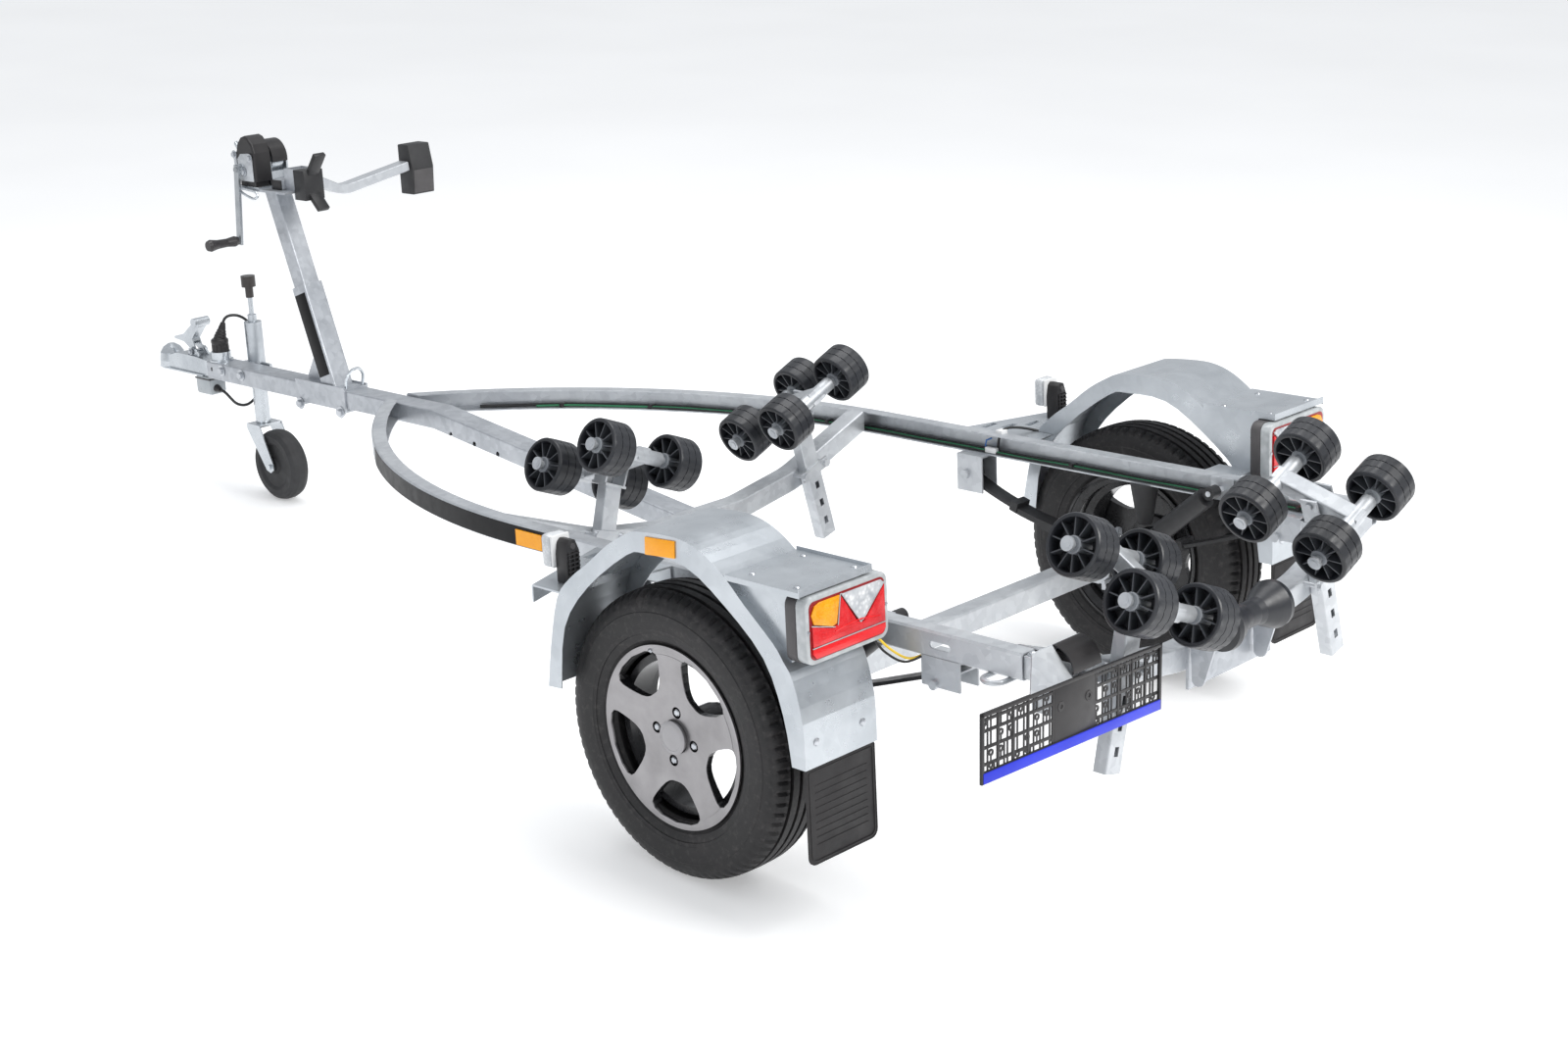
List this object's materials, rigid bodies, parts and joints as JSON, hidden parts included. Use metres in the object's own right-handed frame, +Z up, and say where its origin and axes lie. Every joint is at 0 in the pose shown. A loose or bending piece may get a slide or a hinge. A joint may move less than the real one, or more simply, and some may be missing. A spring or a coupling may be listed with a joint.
{
  "type": "personal watercraft trailer",
  "caption": "Single-axle trailer for a personal watercraft: galvanised frame, tilting roller cradles, keel roller, winch post with bow stop, jockey wheel, ball coupling and lamps.",
  "frame": {"origin": "on the floor under the middle of the overall length and width, without the two free leads", "axes": "+X forward to the coupling, +Y to the left side, +Z up; the trailer stands nose down on its jockey wheel"},
  "size_m": [3.7458, 1.646, 1.0447],
  "materials": {
    "galvanised": "hot-dip galvanised, matt grey with faint spangle",
    "zinc_bright": "bright zinc plate",
    "zinc_sheet": "zinc coated sheet",
    "alloy_rim": "satin grey with dark window sides",
    "tyre": "black tread rubber",
    "black_rubber": "matt black rubber",
    "black_steel": "black paint",
    "black_plastic": "moulded black plastic",
    "lamp_red": "red, amber and clear lens",
    "lamp_clear": "clear lens on a black ribbed holder",
    "plate_black": "black plate holder",
    "grey_plastic": "light grey plastic",
    "cable": "black and green cable sheath"
  },
  "bodies": {
    "frame": {"drawbar": "galvanised", "rail_left": "galvanised", "rail_right": "galvanised", "front_cross_member": "galvanised", "rear_cross_member": "galvanised", "keel_bracket": "galvanised", "axle_beam": "galvanised", "leaf_springs": "black_steel", "spring_clamps": "galvanised", "bump_stops": "black_rubber", "shock_absorbers": "black_steel", "mudguard_left": "zinc_sheet", "mudguard_right": "zinc_sheet", "mudguard_supports": "zinc_sheet", "mudflaps": "black_rubber", "tail_lamps": "lamp_red", "position_lamps": "lamp_clear", "plate_holder": "plate_black", "plate_lamp": "black_plastic", "roller_posts": "galvanised", "winch_post_sleeve": "galvanised", "winch_post": "galvanised", "winch_frame": "zinc_bright", "winch_covers": "black_plastic", "bow_stop": "black_steel", "side_arm": "galvanised", "side_arm_pad": "black_rubber", "coupling_head": "zinc_bright", "plug_holder": "zinc_bright", "plug": "black_plastic", "plug_lead": "cable", "socket_lead": "cable", "socket_box": "grey_plastic", "jockey_tube": "zinc_bright", "wiring_harness": "cable"},
    "wheel_left": {"tyre_left": "tyre", "rim_left": "alloy_rim"},
    "wheel_right": {"tyre_right": "tyre", "rim_right": "alloy_rim"},
    "jockey_leg": {"jockey_leg": "zinc_bright"},
    "jockey_fork": {"jockey_fork": "zinc_bright"},
    "jockey_wheel": {"jockey_wheel": "black_rubber"},
    "coupling_lever": {"coupling_lever": "zinc_bright"},
    "winch_drum": {"winch_drum": "zinc_bright"},
    "winch_crank": {"winch_crank": "zinc_bright"},
    "keel_roller": {"keel_roller": "black_rubber"},
    "cradle_fl": {"cradle_fl": "galvanised"},
    "rollers_fl_front": {"rollers_fl_front": "black_rubber"},
    "rollers_fl_rear": {"rollers_fl_rear": "black_rubber"},
    "cradle_fr": {"cradle_fr": "galvanised"},
    "rollers_fr_front": {"rollers_fr_front": "black_rubber"},
    "rollers_fr_rear": {"rollers_fr_rear": "black_rubber"},
    "cradle_rl": {"cradle_rl": "galvanised"},
    "rollers_rl_front": {"rollers_rl_front": "black_rubber"},
    "rollers_rl_rear": {"rollers_rl_rear": "black_rubber"},
    "cradle_rr": {"cradle_rr": "galvanised"},
    "rollers_rr_front": {"rollers_rr_front": "black_rubber"},
    "rollers_rr_rear": {"rollers_rr_rear": "black_rubber"}
  },
  "joints": [
    {"name": "wheel_left_spin", "type": "hinge", "parent": "frame", "child": "wheel_left", "pos_m": [-1.03206, 0.7145, 0.286], "axis": [0, 1, 0], "continuous": true},
    {"name": "wheel_right_spin", "type": "hinge", "parent": "frame", "child": "wheel_right", "pos_m": [-1.03206, -0.7145, 0.286], "axis": [0, 1, 0], "continuous": true},
    {"name": "jockey_leg_slide", "type": "slide", "parent": "frame", "child": "jockey_leg", "axis": [0.0579, 0, 0.9983], "range_m": [-0.08, 0.04]},
    {"name": "jockey_fork_swivel", "type": "hinge", "parent": "jockey_leg", "child": "jockey_fork", "pos_m": [1.50516, -0.068, 0.19894], "axis": [0.0579, 0, 0.9983], "continuous": true},
    {"name": "jockey_wheel_spin", "type": "hinge", "parent": "jockey_fork", "child": "jockey_wheel", "pos_m": [1.43219, -0.068, 0.098], "axis": [0, 1, 0], "continuous": true},
    {"name": "coupling_lever_hinge", "type": "hinge", "parent": "frame", "child": "coupling_lever", "pos_m": [1.70054, 0, 0.38995], "axis": [0, 1, 0], "range_deg": [-30, 0]},
    {"name": "winch_drum_spin", "type": "hinge", "parent": "frame", "child": "winch_drum", "pos_m": [1.31202, -0.018, 0.97944], "axis": [0, 1, 0], "continuous": true},
    {"name": "winch_crank_spin", "type": "hinge", "parent": "frame", "child": "winch_crank", "pos_m": [1.32872, 0.072, 0.95643], "axis": [0, 1, 0], "continuous": true},
    {"name": "keel_roller_spin", "type": "hinge", "parent": "frame", "child": "keel_roller", "pos_m": [-1.77232, 0, 0.51024], "axis": [0, 1, 0], "continuous": true},
    {"name": "cradle_fl_tilt", "type": "hinge", "parent": "frame", "child": "cradle_fl", "pos_m": [-0.33813, 0.282, 0.55828], "axis": [-0.0219, -0.9259, -0.3772], "range_deg": [-6.68, 53.32]},
    {"name": "rollers_fl_front_spin", "type": "hinge", "parent": "cradle_fl", "child": "rollers_fl_front", "pos_m": [-0.26514, 0.29419, 0.52412], "axis": [0.0219, 0.9259, 0.3772], "continuous": true},
    {"name": "rollers_fl_rear_spin", "type": "hinge", "parent": "cradle_fl", "child": "rollers_fl_rear", "pos_m": [-0.41112, 0.26981, 0.59243], "axis": [0.0219, 0.9259, 0.3772], "continuous": true},
    {"name": "cradle_fr_tilt", "type": "hinge", "parent": "frame", "child": "cradle_fr", "pos_m": [-0.33697, -0.282, 0.57824], "axis": [0.0219, -0.9259, 0.3772], "range_deg": [-9.03, 50.97]},
    {"name": "rollers_fr_front_spin", "type": "hinge", "parent": "cradle_fr", "child": "rollers_fr_front", "pos_m": [-0.26256, -0.29302, 0.54688], "axis": [0.0219, -0.9259, 0.3772], "continuous": true},
    {"name": "rollers_fr_rear_spin", "type": "hinge", "parent": "cradle_fr", "child": "rollers_fr_rear", "pos_m": [-0.41138, -0.27098, 0.60961], "axis": [0.0219, -0.9259, 0.3772], "continuous": true},
    {"name": "cradle_rl_tilt", "type": "hinge", "parent": "frame", "child": "cradle_rl", "pos_m": [-1.73467, 0.282, 0.64128], "axis": [-0.0219, -0.9259, -0.3772], "range_deg": [-57.16, 2.84]},
    {"name": "rollers_rl_front_spin", "type": "hinge", "parent": "cradle_rl", "child": "rollers_rl_front", "pos_m": [-1.66028, 0.26794, 0.67146], "axis": [0.0219, 0.9259, 0.3772], "continuous": true},
    {"name": "rollers_rl_rear_spin", "type": "hinge", "parent": "cradle_rl", "child": "rollers_rl_rear", "pos_m": [-1.80905, 0.29606, 0.61109], "axis": [0.0219, 0.9259, 0.3772], "continuous": true},
    {"name": "cradle_rr_tilt", "type": "hinge", "parent": "frame", "child": "cradle_rr", "pos_m": [-1.73345, -0.282, 0.66224], "axis": [0.0219, -0.9259, 0.3772], "range_deg": [-52.92, 7.08]},
    {"name": "rollers_rr_front_spin", "type": "hinge", "parent": "cradle_rr", "child": "rollers_rr_front", "pos_m": [-1.65681, -0.27001, 0.68723], "axis": [0.0219, -0.9259, 0.3772], "continuous": true},
    {"name": "rollers_rr_rear_spin", "type": "hinge", "parent": "cradle_rr", "child": "rollers_rr_rear", "pos_m": [-1.81009, -0.29399, 0.63725], "axis": [0.0219, -0.9259, 0.3772], "continuous": true}
  ],
  "couplings": [
    {"joint": "winch_crank_spin", "follows": "winch_drum_spin", "ratio": -4}
  ]
}
